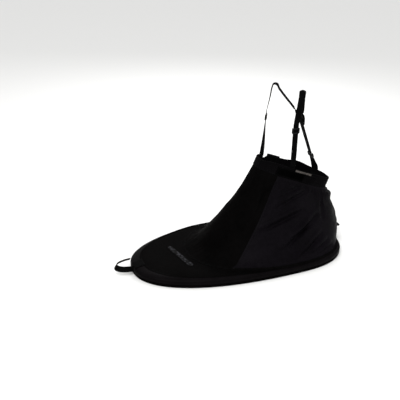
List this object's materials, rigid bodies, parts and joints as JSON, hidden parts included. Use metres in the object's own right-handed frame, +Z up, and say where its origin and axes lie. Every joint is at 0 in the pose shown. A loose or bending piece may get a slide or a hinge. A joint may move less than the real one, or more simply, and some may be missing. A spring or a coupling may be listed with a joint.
{
  "type": "kayak spray skirt",
  "caption": "Kayak spray skirt: deck panel with corded hem, fabric body tunnel, elastic waistband, adjustable suspenders and bow grab loop.",
  "frame": {"origin": "centre of the cockpit coaming's length and width, in the flat plane of the hem's lower edge", "axes": "+X towards the bow, +Y to port, +Z up"},
  "size_m": [1.0214, 0.48, 0.692],
  "materials": {
    "deck_fabric": "matt coated nylon, near black",
    "side_fabric": "light nylon with a slight purple-grey sheen",
    "rand": "rubberised tape, satin",
    "webbing": "woven polyester webbing, black",
    "waistband": "nylon casing over elastic",
    "elastic": "ribbed elastic",
    "hook_loop": "hook and loop tape",
    "cord": "braided shock cord",
    "plastic": "moulded acetal, black",
    "spring": "spring wire",
    "reflective": "grey reflective tape",
    "label": "plain pale woven tape"
  },
  "bodies": {
    "deck": {"cord_casing": "deck_fabric", "rand_band": "rand", "deck_panel": "deck_fabric", "shock_cord": "cord", "buttonhole_patch": "webbing", "cord_end_stop": "plastic", "reflective_strip": "reflective", "grab_loop_anchor": "webbing", "tunnel_front_panel": "deck_fabric", "tunnel_port_panel": "side_fabric", "tunnel_starboard_panel": "side_fabric", "tunnel_back_panel": "side_fabric"},
    "waistband": {"waistband_outer": "waistband", "waist_elastic": "elastic", "waistband_lining": "waistband", "side_patch": "hook_loop", "waist_label": "label", "loop_tape": "hook_loop", "port_strap_tack": "webbing", "starboard_strap_tack": "webbing", "rear_strap_tack": "webbing"},
    "waist_tab": {"waist_tab": "waistband", "hook_tape": "hook_loop"},
    "suspender_yoke": {"port_shoulder_strap": "webbing", "starboard_shoulder_strap": "webbing", "yoke_patch": "webbing"},
    "rear_strap": {"rear_strap": "webbing", "rear_strap_return": "webbing"},
    "port_adjuster": {"port_adjuster": "plastic"},
    "starboard_adjuster": {"starboard_adjuster": "plastic"},
    "rear_adjuster": {"rear_adjuster": "plastic"},
    "grab_loop": {"grab_loop": "webbing"},
    "cord_lock": {"cord_lock_body": "plastic", "cord_lock_spring": "spring"},
    "cord_lock_button": {"cord_lock_plunger": "plastic"}
  },
  "joints": [
    {"name": "tunnel_collapse", "type": "slide", "parent": "deck", "child": "waistband", "axis": [0, 0, -1], "range_m": [0, 0.13], "stiffness_N_per_m": 300, "deforming": ["tunnel_front_panel", "tunnel_port_panel", "tunnel_starboard_panel", "tunnel_back_panel"]},
    {"name": "suspender_drop", "type": "slide", "parent": "waistband", "child": "suspender_yoke", "axis": [0, 0, -1], "range_m": [0, 0.095], "stiffness_N_per_m": 60, "deforming": ["port_shoulder_strap", "starboard_shoulder_strap"]},
    {"name": "rear_strap_drop", "type": "slide", "parent": "waistband", "child": "rear_strap", "axis": [0, 0, -1], "range_m": [0, 0.036], "deforming": ["rear_strap", "rear_strap_return"]},
    {"name": "port_adjust", "type": "slide", "parent": "suspender_yoke", "child": "port_adjuster", "axis": [0, 0, 1], "range_m": [-0.04, 0.012]},
    {"name": "starboard_adjust", "type": "slide", "parent": "suspender_yoke", "child": "starboard_adjuster", "axis": [-0.0708, -0.0257, 0.9972], "range_m": [-0.04, 0.012]},
    {"name": "rear_adjust", "type": "slide", "parent": "rear_strap", "child": "rear_adjuster", "axis": [-0.4579, -0.1831, -0.87], "range_m": [-0.02, 0.015]},
    {"name": "waist_tab_peel", "type": "hinge", "parent": "waistband", "child": "waist_tab", "pos_m": [-0.1537, -0.0655, 0.3951], "axis": [-0.3665, 0, 0.9304], "range_deg": [0, 120]},
    {"name": "grab_loop_lift", "type": "hinge", "parent": "deck", "child": "grab_loop", "pos_m": [0.446, 0, 0.033], "axis": [0, -1, 0], "range_deg": [-8, 80], "stiffness_Nm_per_rad": 0.05},
    {"name": "cord_lock_slide", "type": "slide", "parent": "deck", "child": "cord_lock", "axis": [-0.766, 0, 0.6428], "range_m": [-0.006, 0.014]},
    {"name": "cord_lock_press", "type": "slide", "parent": "cord_lock", "child": "cord_lock_button", "axis": [-0.6428, 0, -0.766], "range_m": [0, 0.003], "stiffness_N_per_m": 400, "deforming": ["cord_lock_spring"]}
  ],
  "couplings": [
    {"joint": "rear_strap_drop", "follows": "suspender_drop", "ratio": 0.37}
  ]
}
